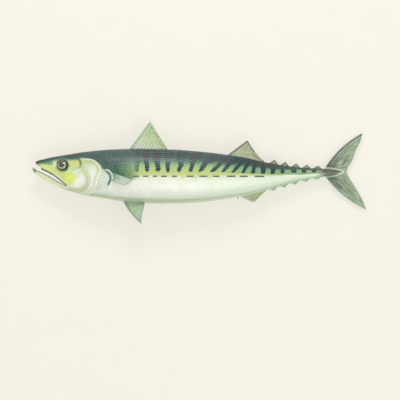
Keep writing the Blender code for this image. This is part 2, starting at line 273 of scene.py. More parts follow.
def depth_of(along):
    """The middle between back and belly, and half the depth there, in shares of the length."""
    back, belly = BACK_LINE(along), BELLY_LINE(along)
    return (back + belly) / 2, (back - belly) / 2


def skin_shares(along, turn):
    """Points of the skin: turn 0 is the back, a quarter turn the upper flank, a half the belly."""
    middle, half_depth = depth_of(along)
    power = 2 / FLANK_FULLNESS
    c, s = np.cos(turn), np.sin(turn)
    throat = THROAT_TAPER * np.maximum(0.0, 1 - along / THROAT_END) * np.maximum(0.0, -c)
    up = middle + half_depth * np.sign(c) * np.abs(c) ** power
    side = HALF_WIDTH(along) * (1 - throat) * np.sign(s) * np.abs(s) ** power
    return along - 0.5, up, MIDDLE_HEIGHT(along) + side


print("deepest at", round(float(BACK_LINE(0.38) - BELLY_LINE(0.38)) * TOTAL_LENGTH / MM, 1), "mm")

# %% [markdown]
# ## The skin
# The trunk and head are one skin. It could be sculpted from a ball, but a hull is easier to keep
# true when it is drawn out ring by ring, as a sail maker lays out ribs. A circle is added at the
# jaws, then extruded, moved and resized at each rib, close together on the head, where the detail
# is, and further apart on the plain trunk.

# %% Helpers for pieces


def deselect_all():
    """An operator acts on all that is selected, so each piece starts with nothing selected."""
    for thing in bpy.context.selected_objects:
        thing.select_set(False)


def start_editing(name):
    """Names the primitive just added, and opens it for editing."""
    piece = bpy.context.active_object
    piece.name = piece.data.name = name
    bpy.ops.object.mode_set(mode="EDIT")
    return piece


def settle(piece):
    """Moves the piece's place, turn and size into its mesh."""
    deselect_all()
    piece.select_set(True)
    bpy.context.view_layer.objects.active = piece
    bpy.ops.object.transform_apply(location=True, rotation=True, scale=True)


def apply_modifiers(piece):
    """Applies every modifier, in order."""
    deselect_all()
    piece.select_set(True)
    bpy.context.view_layer.objects.active = piece
    for modifier in list(piece.modifiers):
        bpy.ops.object.modifier_apply(modifier=modifier.name)


def read_points(piece):
    """The piece's vertices as rows of an array, in millimetres."""
    flat = np.empty(len(piece.data.vertices) * 3, np.float32)
    piece.data.vertices.foreach_get("co", flat)
    return flat.reshape(-1, 3).astype(float) / MM


def write_points(piece, points):
    """Puts the vertices back."""
    piece.data.vertices.foreach_set("co", (points * MM).astype(np.float32).ravel())
    piece.data.update()


def keep_on(piece, name, values):
    """Keeps a number for each point of the piece, for its finish to read."""
    attribute = piece.data.attributes.new(name, "FLOAT", "POINT")
    attribute.data.foreach_set("value", values.astype(np.float32))


def finish_piece(piece, material, slot, *stands_for):
    """Gives the piece its material and body, and hides the solids it stands for; slot is not used."""
    piece.data.materials.clear()
    piece.data.materials.append(material)
    piece.data.shade_smooth()
    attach(piece, "root")
    if stands_for:
        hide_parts(*stands_for)


# %% Draw the skin out rib by rib
AROUND = 32
HEAD_RIBS = [0.0006, 0.0024, 0.0055, 0.0100] + [0.0100 + 0.0117 * k for k in range(1, 22)]
TRUNK_RIBS = [HEAD_RIBS[-1] + (0.8550 - HEAD_RIBS[-1]) * k / 16 for k in range(1, 17)]
TAIL_RIBS = [0.8710, 0.8860, 0.9000, 0.9130, 0.9230, 0.9275]
NOSE_ROUNDING = 0.0055


def rib_size(along):
    """Where a rib's centre is and how deep and wide it is, in metres, rounded off at the nose."""
    x, top, height = (float(v) * TOTAL_LENGTH for v in skin_shares(along, 0.0))
    low = float(BELLY_LINE(along)) * TOTAL_LENGTH
    ease = math.sqrt(1 - (1 - min(along / NOSE_ROUNDING, 1.0)) ** 2)
    wide = float(HALF_WIDTH(along)) * TOTAL_LENGTH
    return Vector((x, (top + low) / 2, height)), ease * (top - low) / 2, ease * wide


deselect_all()
centre, deep, wide = rib_size(HEAD_RIBS[0])
bpy.ops.mesh.primitive_circle_add(
    vertices=AROUND, radius=deep, location=centre, rotation=(0.0, math.pi / 2, 0.0)
)
skin = start_editing("mackerel_skin")
bpy.ops.mesh.select_all(action="SELECT")
bpy.ops.transform.resize(value=(1.0, 1.0, wide / deep), center_override=centre)
bpy.ops.mesh.edge_face_add()
for along in (HEAD_RIBS + TRUNK_RIBS + TAIL_RIBS)[1:]:
    next_centre, next_deep, next_wide = rib_size(along)
    bpy.ops.mesh.extrude_region_move(TRANSFORM_OT_translate={"value": next_centre - centre})
    growth = (1.0, next_deep / deep, next_wide / wide)
    bpy.ops.transform.resize(value=growth, center_override=next_centre)
    centre, deep, wide = next_centre, next_deep, next_wide
bpy.ops.mesh.select_all(action="SELECT")
bpy.ops.mesh.normals_make_consistent(inside=False)
bpy.ops.object.mode_set(mode="OBJECT")
settle(skin)
print("the rough skin has", len(skin.data.polygons), "faces")

# %% [markdown]
# ## From ribs to skin
# Subdivision turns the ribs into a fine even net. A fish's flank is a little fuller than an
# ellipse, its throat is narrower than its crown, and the side that it lies on is flat, so each
# point of the net is then set exactly on the surface that the four lines describe.

# %% Refine the net and set it on the lines
refine = skin.modifiers.new("fine_net", "SUBSURF")
refine.levels = refine.render_levels = 3
apply_modifiers(skin)


def along_of(points):
    """The share of the total length at which each point lies."""
    return points[:, 0] * MM / TOTAL_LENGTH + 0.5


def set_on_lines(points):
    """Moves points along their ribs onto the body's exact surface."""
    along = along_of(points)
    up, height = points[:, 1] * MM / TOTAL_LENGTH, points[:, 2] * MM / TOTAL_LENGTH
    middle, half_depth = depth_of(along)
    turn = np.arctan2(
        (height - MIDDLE_HEIGHT(along)) / HALF_WIDTH(along), (up - middle) / half_depth
    )
    exact = np.column_stack(skin_shares(along, turn)) * TOTAL_LENGTH / MM
    hold = smoothstep(NOSE_ROUNDING, 2 * NOSE_ROUNDING, along) * (along < TAIL_RIBS[-2])
    return points + (exact - points) * hold[:, None]


points = set_on_lines(read_points(skin))
points[:, 2] = np.maximum(points[:, 2], 0.0)
write_points(skin, points)
print("the fine skin has", len(skin.data.polygons), "faces")

# %% [markdown]
# ## Bones and folds under the skin
# The head's plates show through the skin: the gill cover with its free edge, the cheek, the jaw
# bones, the rim of the eye. Cutting each into the net would be slow work. It is simpler to raise
# and lower the skin by its distance from a few drawn lines, as a carver works to scribed marks.
# The lines are in millimetres from the origin, and each works on both flanks.

# %% Distances to drawn lines


def distances(points, path, samples=40):
    """Signed distance to a smooth path, plus on its left, and how far along it the nearest point
    is, from 0 to 1."""
    xs, ys = smooth_path(path)(np.linspace(0.0, 1.0, samples))
    best = np.full(len(points), 1e9)
    signed, share = np.zeros(len(points)), np.zeros(len(points))
    for i in range(samples - 1):
        dx, dy = xs[i + 1] - xs[i], ys[i + 1] - ys[i]
        px, py = points[:, 0] - xs[i], points[:, 1] - ys[i]
        t = np.clip((px * dx + py * dy) / (dx * dx + dy * dy), 0.0, 1.0)
        gap = np.hypot(px - t * dx, py - t * dy)
        nearer = gap < best
        best = np.where(nearer, gap, best)
        signed = np.where(nearer, np.sign(dx * py - dy * px) * gap, signed)
        share = np.where(nearer, (i + t) / (samples - 1), share)
    return signed, share


def crease(distance, width):
    """1 on a line, falling smoothly to 0 beside it."""
    return np.exp(-((distance / width) ** 2))


def taper(share, start=0.10, end=0.90):
    """Fades a feature out towards both ends of its line."""
    return smoothstep(0.0, start, share) * (1 - smoothstep(end, 1.0, share))


# %% The head's lines, in millimetres
GILL_EDGE = [
    (-120.4, 14.2), (-111.0, 13.0), (-104.0, 7.5), (-99.4, 2.1), (-93.5, -0.7), (-90.4, -6.0),
    (-93.1, -11.5), (-100.8, -16.3), (-108.5, -20.2), (-113.4, -22.8),
]
COVER_RIM = [
    (-124.3, 13.8), (-116.5, 13.7), (-109.9, 12.1), (-105.2, 8.1), (-103.2, 3.4), (-103.3, -0.5),
    (-105.7, -5.7), (-107.3, -12.5), (-109.7, -18.8), (-114.9, -23.6),
]
CHEEK_EDGE = [
    (-122.2, 9.4), (-120.2, 3.7), (-117.0, -1.0), (-115.1, -6.8), (-116.2, -13.6),
    (-120.2, -18.3), (-126.9, -19.9), (-134.3, -19.6),
]
JAW_BONE = [
    (-169.3, 11.0), (-164.6, 8.6), (-157.2, 4.2), (-149.9, -1.0), (-143.7, -6.3), (-138.4, -12.0),
]
MOUTH_LINE = [
    (-173.4, 7.0), (-170.3, 5.4), (-162.5, 1.9), (-156.5, -1.1), (-151.0, -4.4), (-146.0, -8.2),
    (-139.0, -13.9),
]
LIP_LINE = [
    (-172.3, 1.8), (-165.1, -0.9), (-158.1, -4.5), (-151.0, -8.6), (-145.9, -11.5), (-139.6, -14.6),
]
CHIN_LINE = [(-170.8, 0.2), (-162.5, -4.8), (-152.0, -11.1), (-142.6, -15.7), (-133.2, -19.4)]
BROW_ARC = [(-133.2, 14.1), (-126.5, 13.5), (-123.9, 9.4), (-124.5, 4.8), (-128.5, 2.1)]
SHOULDER_FOLD = [(-96.1, 0.0), (-93.2, -3.1), (-92.7, -7.3), (-94.6, -12.5)]
CROWN_EDGE = [
    (-177.1, 8.1), (-170.3, 8.6), (-165.6, 9.8), (-159.3, 11.3), (-149.9, 13.4), (-142.6, 14.4),
    (-135.3, 13.6), (-128.0, 14.4), (-120.7, 15.7), (-112.3, 15.0), (-106.0, 12.2), (-101.3, 7.3),
    (-97.7, 2.9), (-91.4, 0.5),
]
SIDE_LINE = [
    (-102.9, 8.9), (-77.8, 9.9), (-51.7, 8.4), (-15.1, 3.7), (21.4, 0.0), (58.0, -2.4),
    (105.0, -2.4), (141.6, -0.6),
]
UPPER_KEEL = [(130.1, 5.6), (139.5, 4.8), (149.9, 2.3)]
LOWER_KEEL = [(130.1, -5.4), (140.5, -4.5), (150.5, 0.2)]
EYE_SPOT = (-142.9, 6.9)
NOSTRILS = [(-157.8, 10.7), (-154.9, 11.3)]
VENT = (37.6, -25.7)
EYE_RADIUS = 5.8

# %% Raise and lower the skin
normals = np.empty(len(skin.data.vertices) * 3, np.float32)
skin.data.vertices.foreach_get("normal", normals)
normals = normals.reshape(-1, 3).astype(float)
points = read_points(skin)
lift = np.zeros(len(points))

behind, share = distances(points, GILL_EDGE)
free_edge = 0.40 * smoothstep(-8, -0.4, behind) - 1.00 * smoothstep(-0.4, 1.4, behind)
trough = -0.60 * (1 - smoothstep(1.4, 9, behind))
lift += taper(share, 0.25, 0.75) * np.where(behind < 1.4, free_edge, trough)

rim, share = distances(points, COVER_RIM)
lift += taper(share, 0.35) * (0.28 * crease(rim + 0.8, 1.3) - 0.25 * crease(rim - 0.7, 0.7))

cheek, share = distances(points, CHEEK_EDGE)
raised = 0.35 * smoothstep(-9, -0.5, cheek) * (1 - smoothstep(-0.5, 0.4, cheek))
lift += taper(share) * (raised - 0.22 * crease(cheek - 0.7, 0.8))

bone, share = distances(points, JAW_BONE)
lift += taper(share) * (0.22 * crease(bone + 1.6, 1.2) - 0.32 * crease(bone, 0.6))

chin, share = distances(points, CHIN_LINE)
lift += taper(share) * (-0.30 * crease(chin, 0.7) + 0.15 * crease(chin + 1.8, 1.0))

brow, share = distances(points, BROW_ARC)
lift += taper(share) * (-0.22 * crease(brow, 0.9))

fold, share = distances(points, SHOULDER_FOLD)
lift += taper(share) * (-0.35 * crease(fold, 0.8))

for keel in (UPPER_KEEL, LOWER_KEEL):
    ridge, share = distances(points, keel)
    lift += taper(share, 0.2, 0.8) * 0.55 * crease(ridge, 0.9)

side_line, share = distances(points, SIDE_LINE, 60)
waver = 0.25 * np.sin(points[:, 0] * 0.9)
lift += taper(share, 0.03, 0.97) * -0.13 * crease(side_line - waver, 0.55)

from_eye = np.hypot(points[:, 0] - EYE_SPOT[0], points[:, 1] - EYE_SPOT[1])
lift += 0.40 * crease(from_eye - 6.9, 1.1) - 2.6 * (1 - smoothstep(5.1, 6.1, from_eye))
for x, y in NOSTRILS:
    lift += -0.8 * crease(np.hypot(points[:, 0] - x, (points[:, 1] - y) * 1.4), 0.55)
lift += -0.5 * crease(np.hypot((points[:, 0] - VENT[0]) * 0.6, points[:, 1] - VENT[1]), 0.9)

BROAD_LUMPS, SMALL_LUMPS = 14.0, 6.0
flesh = [
    noise.noise(Vector(p) / BROAD_LUMPS) + 0.5 * noise.noise(Vector(p) / SMALL_LUMPS) for p in points
]
lift += 0.16 * np.array(flesh)

mouth, mouth_share = distances(points, MOUTH_LINE)
lift += -0.7 * crease(mouth, 1.1) * (1 - smoothstep(0.9, 1.0, mouth_share))

points += normals * lift[:, None]
points[:, 2] = np.maximum(points[:, 2], 0.0)
print("the skin rises", round(lift.max(), 2), "mm and sinks", round(-lift.min(), 2), "mm")

# %% Hollow the lower flank where the right side fin is pressed into it
HOLLOW_CENTRE, HOLLOW_REACH = (-80.5, -7.0), (13.0, 7.5)
HOLLOW_LEAN, HOLLOW_DEPTH = 0.25, 1.2
x, y = points[:, 0] - HOLLOW_CENTRE[0], points[:, 1] - HOLLOW_CENTRE[1]
from_fin = np.hypot(x / HOLLOW_REACH[0], (y + HOLLOW_LEAN * x) / HOLLOW_REACH[1])
too_low = np.maximum(HOLLOW_DEPTH - points[:, 2], 0.0)
points[:, 2] += (1 - smoothstep(0.8, 1.15, from_fin)) * too_low
write_points(skin, points)
print("the hollow lifts", int((too_low * (from_fin < 1) > 0).sum()), "points off the table")

# %% [markdown]
# ## The parted jaws
# The mouth of a dead fish hangs a little open. A wedge is cut right through the front of the head
# with a Boolean, which leaves clean jaws and paints the cut walls with the cutter's own material.
# The lips were already rolled inwards above, so the cut has no knife edge. A tongue fills the gap.

# %% Cut the mouth
MOUTH_WEDGE = [
    (-0.010, 0.0330), (0.0085, 0.0300), (0.0125, 0.0235), (0.0200, 0.0168), (0.0360, 0.0072),
    (0.0530, -0.0023), (0.0690, -0.0122), (0.0830, -0.0232), (0.1010, -0.0392), (0.0830, -0.0246),
    (0.0690, -0.0139), (0.0530, -0.0044), (0.0360, 0.0043), (0.0180, 0.0105), (0.0070, 0.0134),
    (-0.010, 0.0140),
]
lining, tree, shader = new_material("wet_mouth_lining", Roughness=0.35, IOR=1.38)
coords = node(tree, "TexCoord").outputs["Object"]
blotches = node(tree, "TexNoise", {"Vector": coords, "Scale": 420.0, "Detail": 3.0})
flesh_pink = tint(tree, blotches.outputs["Fac"], "6d6a66", "a39a93")
tree.links.new(flesh_pink, shader.inputs["Base Color"])

deselect_all()
bpy.ops.mesh.primitive_circle_add(vertices=len(MOUTH_WEDGE), radius=0.01, fill_type="NGON")
wedge = start_editing("mouth_wedge")
bpy.ops.object.mode_set(mode="OBJECT")
for vert, (along, up) in zip(wedge.data.vertices, MOUTH_WEDGE):
    vert.co = ((along - 0.5) * TOTAL_LENGTH, up * TOTAL_LENGTH, 0.0)
bpy.ops.object.mode_set(mode="EDIT")
bpy.ops.mesh.select_all(action="SELECT")
bpy.ops.mesh.extrude_region_move(TRANSFORM_OT_translate={"value": (0.0, 0.0, 0.040)})
bpy.ops.mesh.select_all(action="SELECT")
bpy.ops.mesh.normals_make_consistent(inside=False)
bpy.ops.object.mode_set(mode="OBJECT")
wedge.data.materials.append(lining)
skin.data.materials.append(bpy.data.materials.new("skin_to_come"))
cut = skin.modifiers.new("mouth", "BOOLEAN")
cut.operation, cut.solver, cut.material_mode = "DIFFERENCE", "EXACT", "TRANSFER"
cut.object = wedge
apply_modifiers(skin)
bpy.data.objects.remove(wedge)
print("the cut skin has", len(skin.data.polygons), "faces and", len(skin.data.materials), "materials")

# %% The tongue
deselect_all()
TONGUE_PLACE = (-0.1540, -0.0040, 0.0158)
bpy.ops.mesh.primitive_uv_sphere_add(
    segments=24, ring_count=16, radius=1 * MM, location=TONGUE_PLACE
)
tongue = start_editing("tongue")
bpy.ops.mesh.select_all(action="SELECT")
bpy.ops.transform.resize(value=(14.0, 3.0, 2.6), center_override=TONGUE_PLACE)
bpy.ops.transform.rotate(value=math.radians(33), orient_axis="Z", center_override=TONGUE_PLACE)
bpy.ops.object.mode_set(mode="OBJECT")
settle(tongue)
finish_piece(tongue, lining, "skin")
print("tongue from", [round(c / MM, 1) for c in tongue.bound_box[0]])

# %% [markdown]
# ## The eyes
# A mackerel's eye is a flattened ball with a clear wet front, a lime-gold iris and a round black
# pupil. A sphere is squashed along its own axis and its front drawn out a little for the cornea,
# then it is turned to stand square to the skin. The iris is painted on a flat map of the ball's
# front, taken before the turn, so that it stays round whichever way the eye looks.

# %% Where the flank is


def flank_height(along, up, side):
    """The height of the skin over the table, in shares, on the upper (1) or the lower flank (-1)."""
    middle, half_depth = depth_of(along)
    across = np.minimum(np.abs(up - middle) / half_depth, 1.0)
    half = HALF_WIDTH(along) * (1 - across**FLANK_FULLNESS) ** (1 / FLANK_FULLNESS)
    return np.maximum(MIDDLE_HEIGHT(along) + side * half, 0.0)


def flank_normal(along, up, side):
    """The way the flank faces at a place."""
    step = 0.002
    run = flank_height(along + step, up, side) - flank_height(along - step, up, side)
    rise = flank_height(along, up + step, side) - flank_height(along, up - step, side)
    return (side * Vector((-run / (2 * step), -rise / (2 * step), 1.0))).normalized()


# %% The eye's material
wet_eye, tree, shader = new_material("wet_fish_eye", Roughness=0.12, IOR=1.38, Coat_Weight=1.0)
shader.inputs["Coat Roughness"].default_value = 0.03
shader.inputs["Coat IOR"].default_value = 1.65
flat_map = node(tree, "UVMap", uv_map="front_of_eye").outputs[0]
to_centre = {"Vector": flat_map, "Location": (-1.0, -1.0, 0.0), "Scale": (2.0, 2.0, 1.0)}
centred = node(tree, "Mapping", to_centre)
radius = node(tree, "VectorMath", {0: centred.outputs[0]}, operation="LENGTH").outputs["Value"]
streaks = node(tree, "TexNoise", {"Vector": flat_map, "Scale": 26.0, "Detail": 4.0, "Roughness": 0.65})
wobble = math_node(tree, "MULTIPLY_ADD", streaks.outputs["Fac"], 0.10, -0.05)
iris_radius = math_node(tree, "ADD", radius, wobble)
iris = ramp(tree, iris_radius, [
    (0.00, "22261c"), (0.46, "22261c"), (0.52, "6f7a4a"), (0.58, "a9b574"), (0.66, "bfca82"),
    (0.74, "909d60"), (0.82, "56684a"), (0.90, "3a4c42"), (0.97, "36483f"),
])
up_place = node(tree, "SeparateXYZ", {0: node(tree, "TexCoord").outputs["Object"]}).outputs[1]
# painted shade: the upper part of the eye is darkened, as in the shade of the brow
shaded = fade(tree, up_place, (EYE_SPOT[1] - 0.5) * MM, (EYE_SPOT[1] + 3.6) * MM, 0.0, 0.92)
iris = tint(tree, shaded, iris, "3c4e42")
pupil = fade(tree, radius, 0.46, 0.54)
tree.links.new(tint(tree, pupil, "20261f", iris), shader.inputs["Base Color"])

# %% Shape and set both eyes
EYE_FACING = (0.0910, 0.0224)  # where on the flank, in shares, the eye's direction is taken
EYE_FLATNESS, CORNEA_RISE, CORNEA_REACH = 0.62, 0.35, 3.6
for word, side in (("left", 1), ("right", -1)):
    low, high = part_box(f"{word}_eye")
    centre = (Vector(low) + Vector(high)) / 2
    normal = flank_normal(*EYE_FACING, side)
    deselect_all()
    bpy.ops.mesh.primitive_uv_sphere_add(segments=48, ring_count=32, radius=EYE_RADIUS * MM)
    eyeball = start_editing(f"eyeball_{word}")
    bpy.ops.mesh.select_all(action="SELECT")
    bpy.ops.transform.resize(value=(1.0, 1.0, EYE_FLATNESS))
    bpy.ops.object.mode_set(mode="OBJECT")
    points = read_points(eyeball)
    out = np.hypot(points[:, 0], points[:, 1])
    points[:, 2] += CORNEA_RISE * (points[:, 2] > 0) * (1 - smoothstep(0.0, CORNEA_REACH, out))
    flat = eyeball.data.uv_layers.active
    flat.name = "front_of_eye"
    for loop in eyeball.data.loops:
        x, y, _ = points[loop.vertex_index]
        flat.data[loop.index].uv = (0.5 + x / (2 * EYE_RADIUS), 0.5 + y / (2 * EYE_RADIUS))
    write_points(eyeball, points)
    eyeball.location = (EYE_SPOT[0] * MM, EYE_SPOT[1] * MM, centre.z)
    eyeball.rotation_euler = normal.to_track_quat("Z", "Y").to_euler()
    settle(eyeball)
    finish_piece(eyeball, wet_eye, "eye", f"{word}_eye")
    print(word, "eye looks along", [round(c, 2) for c in normal])

# %% [markdown]
# ## Fins
# A fin is a thin skin stretched over rays, like cloth over the ribs of a fan. The rays of the first
# back fin are stiff spines, and the others are soft and split in two on their way to the edge. A
# fine grid is stretched over each fan, and its thickness follows the rays, so that they stand out
# on both faces. The grid's flat map counts the rays one way and runs from root to edge the other
# way, and the finish follows that map.

# %% The fan and its rays
SKIN_THICKNESS = 0.16  # of the web between two rays, in millimetres
COLUMNS_PER_RAY = 8


def ray_height(ray, row, split):
    """1 on a ray and 0 between two; past split, from root (0) to edge (1), each ray is two."""
    whole = crease(np.abs((ray + 0.5) % 1.0 - 0.5), 0.19)
    halves = crease(np.abs((2 * ray) % 1.0 - 0.5), 0.28)
    part = smoothstep(split, split + 0.25, row)
    return whole * (1 - part) + 0.8 * halves * part


def fin_sheet(name, rays, rows, surface, ray_thickness, split=0.45):
    """A fin. surface(share of the base, row) gives its middle surface in millimetres."""
    deselect_all()
    columns = (rays - 1) * COLUMNS_PER_RAY
    bpy.ops.mesh.primitive_grid_add(x_subdivisions=columns, y_subdivisions=rows, size=1.0)
    fin = bpy.context.active_object
    fin.name = fin.data.name = name
    flat = read_points(fin) * MM + 0.5
    share, row = flat[:, 0], flat[:, 1]
    ray = share * (rays - 1)
    write_points(fin, surface(share, row))
    taper_out = 1 - 0.62 * row
    thick = SKIN_THICKNESS + ray_thickness * taper_out * ray_height(ray, row, split)
    group = fin.vertex_groups.new(name="thickness")
    for index, value in enumerate(thick / thick.max()):
        group.add([index], float(value), "REPLACE")
    ray_map = fin.data.uv_layers.active
    ray_map.name = "rays"
    for loop in fin.data.loops:
        ray_map.data[loop.index].uv = (ray[loop.vertex_index], row[loop.vertex_index])
    plate = fin.modifiers.new("plate", "SOLIDIFY")
    plate.thickness = thick.max() * MM
    plate.offset = 0.0
    plate.vertex_group = "thickness"
    apply_modifiers(fin)
    return fin


def median_fin(base, edge, body_line, side, rays, notch=0.0, bow=0.0, spread=0.0, splay=0.0, sweep=0.0):
    """The surface of a fin on the middle plane. notch is how far the web falls short of the ray
    tips, and sweep how far the whole fin leans out of the plane at its tip, in millimetres."""
    edge_at = smooth_path(edge)

    def surface(share, row):
        root = base[0] + (base[1] - base[0]) * share
        root_up = body_line(root) - side * 1.4 * MM / TOTAL_LENGTH
        tip, tip_up = edge_at(share)
        web = 1 - notch * (1 - crease(np.abs((share * (rays - 1) + 0.5) % 1.0 - 0.5), 0.22))
        out = row * web
        along = root + (tip - root) * out + 4 * bow * out * (1 - out) * (1 - share)
        up = root_up + (tip_up - root_up) * out
        height = MIDDLE_HEIGHT(along) * TOTAL_LENGTH / MM + spread + splay * out
        height += sweep * np.sin(math.pi * share) * out**2
        scale = TOTAL_LENGTH / MM
        return np.column_stack([(along - 0.5) * scale, up * scale, height])

    return surface


# %% [markdown]
# ## The fins' finish
# The web is a thin film with a little pigment in it, paler towards the root, and the rays carry
# more of it. On the spiny fin the pale root is also painted light, against the body's shade at its
# base. Wet film is glossy and lets some light through, so the web is slightly see-through.

# %% Fin membranes


WEB_ALPHA, RAY_STRENGTH = 0.90, 0.6


def fin_finish(name, web_colours, ray_colour, edges, pale, streaks, rays, root_rim=None):
    """Wet membrane between rays. web_colours run from root to tip; edges are the colours of the
    foremost ray, of the hem and of the last ray; streaks is how much pale web there is."""
    material, tree, shader = new_material(name, Roughness=0.40, IOR=1.40)
    rays_and_rows = node(tree, "UVMap", uv_map="rays").outputs[0]
    split = node(tree, "SeparateXYZ", {0: rays_and_rows})
    ray, row = split.outputs[0], split.outputs[1]
    whole = math_node(tree, "PINGPONG", ray, 0.5)
    whole_line = fade(tree, whole, 0.10, 0.30, 1.0, 0.0)
    halves = math_node(tree, "PINGPONG", math_node(tree, "MULTIPLY_ADD", ray, 2.0, 0.5), 0.5)
    half_line = fade(tree, halves, 0.12, 0.38, 1.0, 0.0)
    past_split = fade(tree, row, 0.40, 0.70)
    line = node(tree, "Mix", {0: past_split, 2: whole_line, 3: half_line}).outputs[0]
    coords = node(tree, "TexCoord").outputs["Object"]
    patches = node(tree, "TexNoise", {"Vector": coords, "Scale": 170.0, "Detail": 4.0}).outputs["Fac"]
    waver = math_node(tree, "MULTIPLY_ADD", patches, 0.30, -0.15)
    web_stops = list(zip((0.05, 0.45, 0.92), web_colours))
    web = ramp(tree, math_node(tree, "ADD", row, waver), web_stops)
    streak_place = node(tree, "Mapping", {"Vector": rays_and_rows, "Scale": (1.3, 3.6, 1.0)}).outputs[0]
    streak_noise = node(tree, "TexNoise", {"Vector": streak_place, "Scale": 1.0, "Detail": 2.0})
    streak = fade(tree, streak_noise.outputs["Fac"], 0.42, 0.62)
    in_streak = math_node(tree, "MULTIPLY", streak, fade(tree, row, 0.05, 0.5, 0.35, 1.0))
    web = tint(tree, math_node(tree, "MULTIPLY", in_streak, streaks), web, pale)
    joints = math_node(tree, "PINGPONG", math_node(tree, "MULTIPLY", row, 22.0), 0.5)
    jointed = fade(tree, joints, 0.05, 0.20, 0.45, 1.0)
    strength = math_node(tree, "MULTIPLY", line, math_node(tree, "MULTIPLY", jointed, RAY_STRENGTH))
    colour = tint(tree, strength, web, ray_colour)
    colour = tint(tree, fade(tree, row, 0.90, 0.99, 0.0, 0.7), colour, edges[1])
    colour = tint(tree, fade(tree, ray, 0.15, 1.3, 0.9, 0.0), colour, edges[0])
    colour = tint(tree, fade(tree, ray, rays - 2.1, rays - 1.2, 0.0, 0.9), colour, edges[2])
    if root_rim:
        off_body = node(tree, "Attribute", attribute_name="off_body").outputs["Fac"]
        colour = tint(tree, fade(tree, off_body, 0.8, 2.6, 0.9, 0.0), colour, root_rim)
    tree.links.new(colour, shader.inputs["Base Color"])
    alpha = fade(tree, line, 0.0, 0.8, WEB_ALPHA, 1.0)
    tree.links.new(alpha, shader.inputs["Alpha"])
    bump = node(tree, "Bump", {"Height": line, "Strength": 0.35, "Distance": 0.0002})
    tree.links.new(bump.outputs[0], shader.inputs["Normal"])
    return material


# painted light: the spiny fin's root is paler than its own colour, to offset the body's shade at its base
spiny_web = fin_finish(
    "spiny_fin_membrane", ("f6fbf2", "cedc9f", "a6bd88"), "8cb888", ("9bbd98", "6f9a78", "a6bd93"),
    "f0f0dc", 0.55, 12,
)
soft_web = fin_finish(
    "soft_fin_membrane", ("cbdbc8", "b0bd8f", "8f9c78"), "86987a", ("5c6b60", "54625a", "5c6f60"),
    "e4e2c4", 0.70, 13,
)
belly_web = fin_finish(
    "belly_fin_membrane", ("d3e4cc", "bccb93", "a9b979"), "9cb07a", ("c9d8b6", "8b9a68", "8a9a62"),
    "dfe8c8", 0.45, 12,
)
pelvic_web = fin_finish(
    "pelvic_fin_membrane", ("b5c99c", "acc79c", "b4cfae"), "6f9d78", ("8aa07a", "7fa287", "9cc0a0"),
    "e9ecd6", 0.55, 8,
)
finlet_web = fin_finish(
    "finlet_membrane", ("d5e3cc", "a9baa0", "5f7264"), "8aa08a", ("4a5b53", "4a5b53", "55665c"),
    "dfe8d2", 0.3, 5,
)
anal_finlet_web = fin_finish(
    "anal_finlet_membrane", ("d9e9d2", "d0debf", "a3b48b"), "a9bf98", ("bfd2b0", "8b9c6c", "8b9c6c"),
    "eef3e0", 0.3, 5,
)
tail_web = fin_finish(
    "tail_fin_membrane", ("616c63", "72836f", "9ab490"), "566a5b", ("525b55", "7f9a80", "a3bfa3"),
    "e1ebcc", 0.60, 30, root_rim="d5e4cf",
)
side_web = fin_finish(
    "side_fin_membrane", ("6a9c7e", "aac8aa", "d3ddcc"), "8aac92", ("7fa68a", "a3b0a3", "93a596"),
    "e4ecdc", 0.6, 14,
)

# %% [markdown]
# ### The fins of the back and belly
# Each fin's base is a stretch of the back or belly line, and its edge a smooth curve from the tip
# of the first ray to the tip of the last.

# %% Fins on the middle plane
first_dorsal = fin_sheet(
    "spiny_fin_of_the_back", 12, 44,
    median_fin(
        (0.2890, 0.4030), [(0.3552, 0.1552), (0.3761, 0.1164), (0.3910, 0.0915), (0.4045, 0.0690)],
        BACK_LINE, 1, 12, notch=0.085, sweep=1.2,
    ), 0.95, split=2.0,
)
finish_piece(first_dorsal, spiny_web, "back_fins", "first_dorsal_fin")

second_dorsal = fin_sheet(
    "soft_fin_of_the_back", 13, 36,
    median_fin(
        (0.5800, 0.6896), [(0.6442, 0.0955), (0.6597, 0.0701), (0.6761, 0.0478), (0.6925, 0.0325)],
        BACK_LINE, 1, 13, notch=0.03, sweep=0.8,
    ), 0.75,
)
finish_piece(second_dorsal, soft_web, "back_fins", "second_dorsal_fin")

anal = fin_sheet(
    "fin_of_the_vent", 12, 30,
    median_fin(
        (0.6165, 0.6970), [(0.6590, -0.0912), (0.6680, -0.0855), (0.6821, -0.0705), (0.6988, -0.0562)],
        BELLY_LINE, -1, 12, notch=0.03, sweep=-0.6,
    ), 0.70,
)
finish_piece(anal, belly_web, "belly_fins", "anal_fin")

for word, side in (("left", 1), ("right", -1)):
    pelvic = fin_sheet(
        f"pelvic_fin_{word}_web", 8, 40,
        median_fin(
            (0.2720, 0.3330), [(0.3278, -0.1552), (0.3284, -0.1337), (0.3337, -0.1060), (0.3365, -0.0935)],
            BELLY_LINE, -1, 8, notch=0.05, bow=-0.0075, spread=2.9 * side, splay=4.8 * side,
        ), 0.80,
    )
    finish_piece(pelvic, pelvic_web, "belly_fins", f"{word}_pelvic_fin")

# %% [markdown]
# ### The finlets
# Two rows of small stiff fins steady the tail of every fast swimmer of this family. One finlet is a
# low triangle that leans back, and the rows get lower towards the tail.

